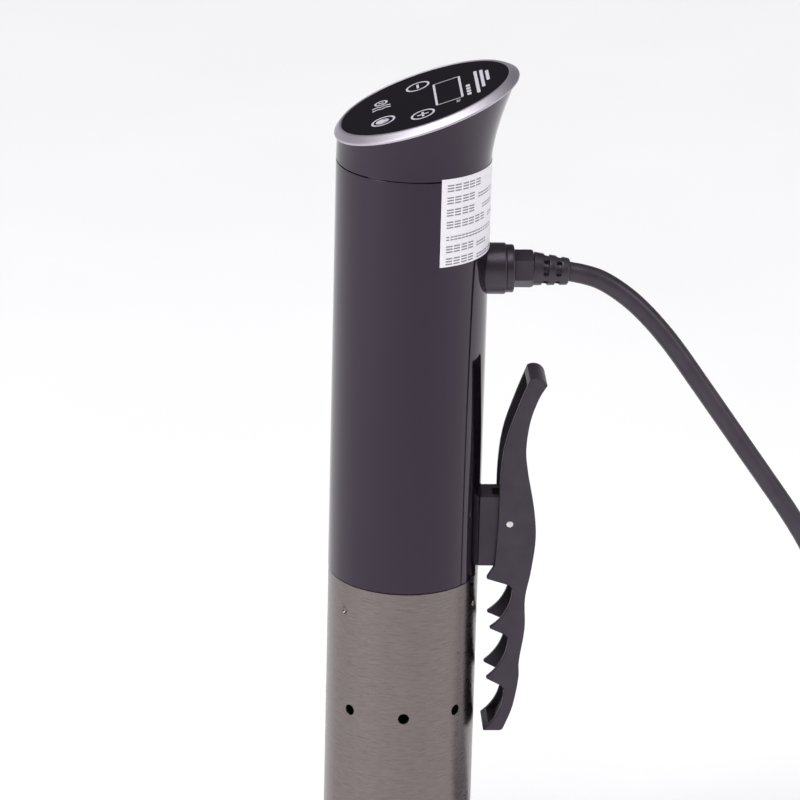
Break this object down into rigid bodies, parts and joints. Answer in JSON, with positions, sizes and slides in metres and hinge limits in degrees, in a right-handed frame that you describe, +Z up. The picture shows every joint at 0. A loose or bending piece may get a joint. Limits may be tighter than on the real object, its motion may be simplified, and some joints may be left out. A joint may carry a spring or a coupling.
{
  "type": "sous vide circulator",
  "caption": "Slim immersion circulator with a tilted touch panel, a steel sleeve over its heater and pump, a toothed pot clamp and a mains cord.",
  "frame": {"origin": "centre of the flat underside of the bottom cap, on the axis of the tube", "axes": "+Z up along the tube, +Y towards the pot clamp and the cord, +X completes a right-handed frame"},
  "size_m": [0.1324, 0.2725, 0.3783],
  "materials": {
    "gloss_black": "polished moulded ABS",
    "panel_black": "polished acrylic",
    "satin_silver": "satin anodised",
    "clamp_black": "fine texture moulded nylon",
    "gland_black": "moulded",
    "rubber_black": "moulded rubber",
    "steel_brushed": "brushed stainless",
    "steel_bright": "polished",
    "spring_steel": "drawn wire",
    "label_white": "paper label",
    "cap_black": "moulded",
    "board_green": "solder mask",
    "display_dark": "display window",
    "brass": "turned",
    "seal_red": "silicone",
    "foam_black": "foam",
    "heat_sink_alu": "extruded",
    "magnet_grey": "sintered",
    "parts_blue": "sleeved",
    "plastic_white": "moulded"
  },
  "bodies": {
    "casing": {"head_housing": "gloss_black", "bezel_ring": "satin_silver", "touch_panel": "panel_black", "panel_gasket": "foam_black", "display_board": "board_green", "display_module": "display_dark", "touch_springs": "spring_steel", "body_tube": "gloss_black", "rating_label": "label_white", "cord_gland": "gland_black", "gland_nut": "gland_black", "gland_ring": "rubber_black", "strain_relief": "rubber_black", "clamp_bracket": "clamp_black", "bracket_screws": "steel_brushed", "pivot_pin": "steel_bright", "clamp_spring": "spring_steel", "bulkhead": "cap_black", "bulkhead_seal": "seal_red", "sleeve_seal": "seal_red", "shaft_bush": "brass", "shaft_seal": "seal_red", "shaft_tube": "steel_brushed", "lower_bush": "brass", "heater_element": "steel_brushed", "heater_nuts": "brass", "temperature_probe": "steel_bright", "level_electrodes": "steel_bright", "thermal_cutout": "plastic_white", "motor_bracket": "steel_brushed", "motor_can": "steel_brushed", "motor_magnets": "magnet_grey", "motor_screws": "steel_brushed", "board_frame": "plastic_white", "power_board": "board_green", "heat_sink": "heat_sink_alu", "power_parts": "parts_blue", "lead_wires": "seal_red", "power_cord": "rubber_black", "cord_coil": "rubber_black", "cord_tail": "rubber_black", "cord_tie": "cap_black", "plug_body": "rubber_black", "plug_pins": "steel_bright"},
    "clamp": {"clamp_lever": "clamp_black"},
    "rotor": {"motor_shaft": "steel_bright", "rotor_core": "magnet_grey", "impeller": "plastic_white", "impeller_nut": "steel_brushed", "cooling_fan": "cap_black"},
    "sleeve": {"steel_sleeve": "steel_brushed"},
    "cap": {"bottom_cap": "cap_black"}
  },
  "joints": [
    {"name": "clamp_pivot", "type": "hinge", "parent": "casing", "child": "clamp", "pos_m": [0, 0.0413, 0.1932], "axis": [1, 0, 0], "range_deg": [0, 15], "stiffness_Nm_per_rad": 0.5, "springref_deg": -34.38, "deforming": ["clamp_spring"]},
    {"name": "rotor_spin", "type": "hinge", "parent": "casing", "child": "rotor", "pos_m": [0, 0, 0.1], "axis": [0, 0, 1], "continuous": true},
    {"name": "sleeve_twist", "type": "hinge", "parent": "casing", "child": "sleeve", "pos_m": [0, 0, 0.1], "axis": [0, 0, 1], "range_deg": [0, 20]},
    {"name": "cap_twist", "type": "hinge", "parent": "sleeve", "child": "cap", "pos_m": [0, 0, 0.01], "axis": [0, 0, 1], "range_deg": [0, 20]}
  ]
}
